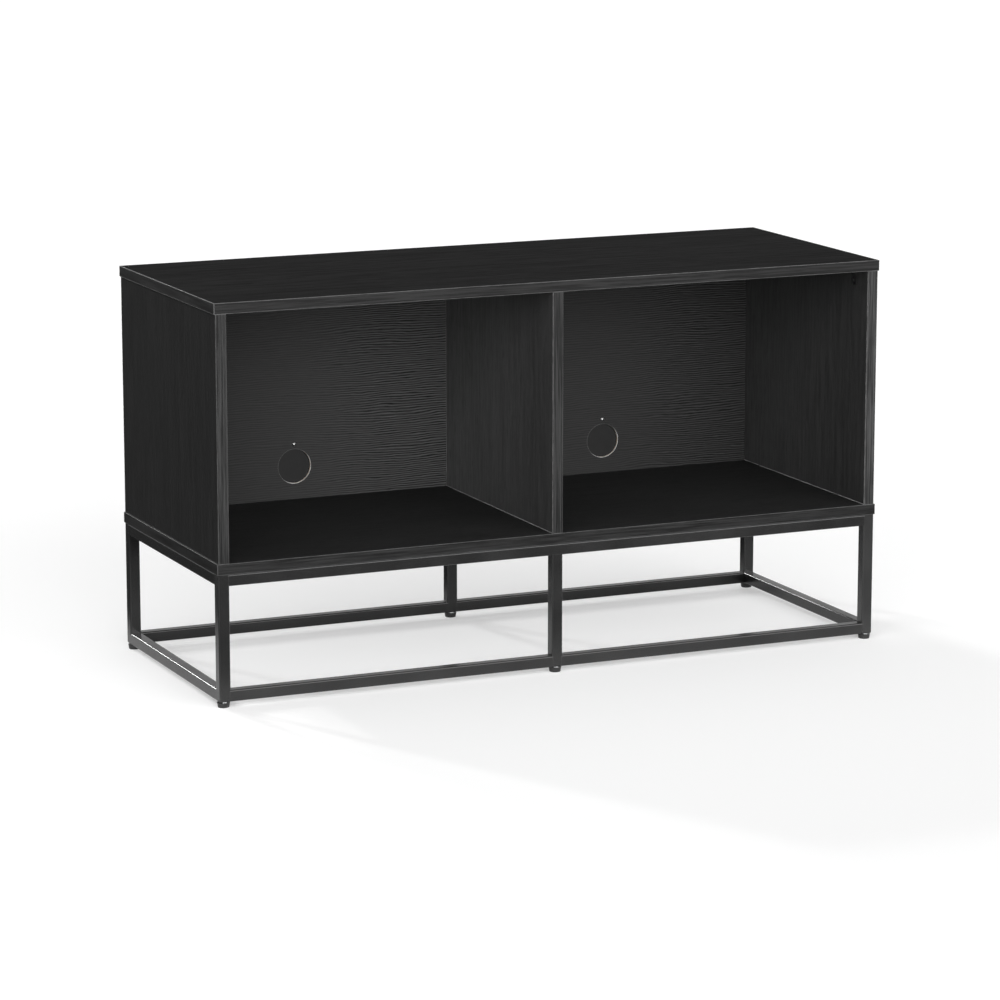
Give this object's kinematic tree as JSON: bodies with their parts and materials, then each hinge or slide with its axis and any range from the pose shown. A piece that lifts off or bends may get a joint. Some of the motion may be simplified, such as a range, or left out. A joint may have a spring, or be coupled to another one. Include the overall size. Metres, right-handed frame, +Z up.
{
  "type": "media cabinet",
  "caption": "Low open-fronted media cabinet in black oak-grain board, divided by an upright, with cable ports in its back, on a square-tube steel base with levelling feet.",
  "frame": {"origin": "centre of the footprint, on the floor under the levelling feet", "axes": "+X along the width (to the right seen from the front), -Y towards the open front, +Z up"},
  "size_m": [1, 0.385, 0.55],
  "materials": {
    "black_oak_board": "black oak-grain melamine on particle board, low sheen",
    "black_oak_edging": "black oak-grain edge band",
    "black_hardboard": "thin black oak-grain hardboard",
    "black_powder_coat": "satin black powder coat",
    "black_plastic": "moulded black nylon",
    "zinc_plated_steel": "bright zinc plate",
    "black_screw": "black oxide",
    "dark_zinc": "dark die-cast zinc",
    "beech": "plain fluted beech"
  },
  "bodies": {
    "cabinet": {"assembly_screws": "zinc_plated_steel", "back_panel": "black_hardboard", "back_panel_screws": "zinc_plated_steel", "base_screws": "black_screw", "bottom_front_edge_band": "black_oak_edging", "bottom_left_edge_band": "black_oak_edging", "bottom_panel": "black_oak_board", "bottom_right_edge_band": "black_oak_edging", "cam_bolts": "zinc_plated_steel", "cam_locks": "dark_zinc", "centre_divider": "black_oak_board", "divider_front_edge_band": "black_oak_edging", "front_left_leg": "black_powder_coat", "front_left_lower_rail": "black_powder_coat", "front_middle_leg": "black_powder_coat", "front_right_leg": "black_powder_coat", "front_right_lower_rail": "black_powder_coat", "front_upper_rail": "black_powder_coat", "left_lower_rail": "black_powder_coat", "left_side_front_edge_band": "black_oak_edging", "left_side_panel": "black_oak_board", "left_upper_rail": "black_powder_coat", "leg_inserts": "black_plastic", "port_cover_pivots": "zinc_plated_steel", "rear_left_leg": "black_powder_coat", "rear_left_lower_rail": "black_powder_coat", "rear_middle_leg": "black_powder_coat", "rear_right_leg": "black_powder_coat", "rear_right_lower_rail": "black_powder_coat", "rear_upper_rail": "black_powder_coat", "right_lower_rail": "black_powder_coat", "right_side_front_edge_band": "black_oak_edging", "right_side_panel": "black_oak_board", "right_upper_rail": "black_powder_coat", "top_front_edge_band": "black_oak_edging", "top_left_edge_band": "black_oak_edging", "top_panel": "black_oak_board", "top_rear_edge_band": "black_oak_edging", "top_right_edge_band": "black_oak_edging", "wooden_dowels": "beech"},
    "left_port_cover_body": {"left_port_cover": "black_plastic"},
    "right_port_cover_body": {"right_port_cover": "black_plastic"},
    "front_left_foot": {"front_left_foot_pad": "black_plastic", "front_left_foot_stud": "zinc_plated_steel"},
    "front_middle_foot": {"front_middle_foot_pad": "black_plastic", "front_middle_foot_stud": "zinc_plated_steel"},
    "front_right_foot": {"front_right_foot_pad": "black_plastic", "front_right_foot_stud": "zinc_plated_steel"},
    "rear_left_foot": {"rear_left_foot_pad": "black_plastic", "rear_left_foot_stud": "zinc_plated_steel"},
    "rear_middle_foot": {"rear_middle_foot_pad": "black_plastic", "rear_middle_foot_stud": "zinc_plated_steel"},
    "rear_right_foot": {"rear_right_foot_pad": "black_plastic", "rear_right_foot_stud": "zinc_plated_steel"}
  },
  "joints": [
    {"name": "left_port_cover_swing", "type": "hinge", "parent": "cabinet", "child": "left_port_cover_body", "pos_m": [-0.24525, 0.1843, 0.278], "axis": [0, 1, 0], "range_deg": [-180, 180]},
    {"name": "right_port_cover_swing", "type": "hinge", "parent": "cabinet", "child": "right_port_cover_body", "pos_m": [0.24525, 0.1843, 0.278], "axis": [0, 1, 0], "range_deg": [-180, 180]},
    {"name": "front_left_foot_thread", "type": "slide", "parent": "cabinet", "child": "front_left_foot", "axis": [0, 0, -1], "range_m": [0, 0.008]},
    {"name": "front_middle_foot_thread", "type": "slide", "parent": "cabinet", "child": "front_middle_foot", "axis": [0, 0, -1], "range_m": [0, 0.008]},
    {"name": "front_right_foot_thread", "type": "slide", "parent": "cabinet", "child": "front_right_foot", "axis": [0, 0, -1], "range_m": [0, 0.008]},
    {"name": "rear_left_foot_thread", "type": "slide", "parent": "cabinet", "child": "rear_left_foot", "axis": [0, 0, -1], "range_m": [0, 0.008]},
    {"name": "rear_middle_foot_thread", "type": "slide", "parent": "cabinet", "child": "rear_middle_foot", "axis": [0, 0, -1], "range_m": [0, 0.008]},
    {"name": "rear_right_foot_thread", "type": "slide", "parent": "cabinet", "child": "rear_right_foot", "axis": [0, 0, -1], "range_m": [0, 0.008]}
  ]
}
